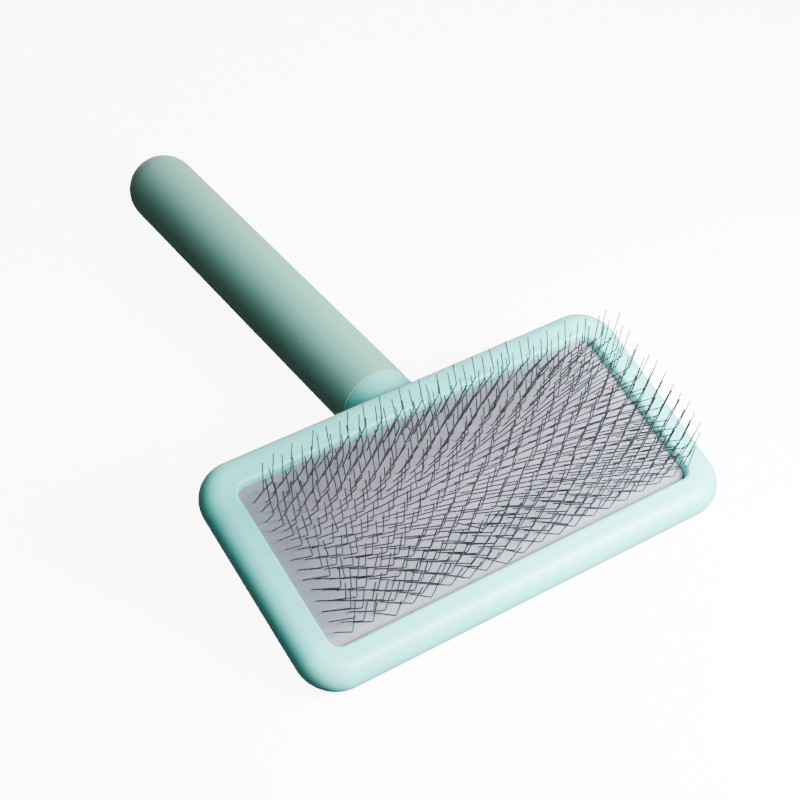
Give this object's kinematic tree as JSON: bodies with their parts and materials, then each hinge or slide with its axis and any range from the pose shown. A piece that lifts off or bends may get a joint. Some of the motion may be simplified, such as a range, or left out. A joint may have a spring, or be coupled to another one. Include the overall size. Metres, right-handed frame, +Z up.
{
  "type": "slicker brush",
  "caption": "Large pet slicker brush: rectangular cushioned head with staggered bent wire pins, rounded plastic rim, and a drooped round soft-grip handle.",
  "frame": {"origin": "middle of the base of the box round the brush, as it lies on its back with the pins up", "axes": "+Y from the head to the handle's end, +X along the head's long side, +Z up"},
  "size_m": [0.16, 0.253, 0.0561],
  "materials": {
    "head_plastic": "smooth satin moulding, pale mint",
    "grip_rubber": "matte soft-touch sleeve, greyed mint",
    "plate_plastic": "plain natural moulding, hidden",
    "foam": "open-cell cushion foam, hidden",
    "ply_rubber": "matte black rubber sheet, hidden",
    "pad_cloth": "fine twill weave, lilac grey",
    "pin_wire": "drawn wire, dull grey",
    "screw_steel": "zinc-plated"
  },
  "bodies": {
    "root": {"front_frame": "head_plastic", "back_shell": "head_plastic", "base_plate": "plate_plastic", "foam_cushion": "foam", "rubber_ply": "ply_rubber", "pin_band_1": "pad_cloth", "pin_band_2": "pad_cloth", "pin_band_3": "pad_cloth", "pin_band_4": "pad_cloth", "frame_screw_1": "screw_steel", "frame_screw_2": "screw_steel", "frame_screw_3": "screw_steel", "frame_screw_4": "screw_steel", "frame_screw_5": "screw_steel", "frame_screw_6": "screw_steel", "frame_screw_7": "screw_steel", "frame_screw_8": "screw_steel", "handle_core": "plate_plastic", "core_plug": "plate_plastic", "grip_sleeve": "grip_rubber", "handle_screw": "screw_steel", "screw_washer": "screw_steel"}
  },
  "joints": []
}
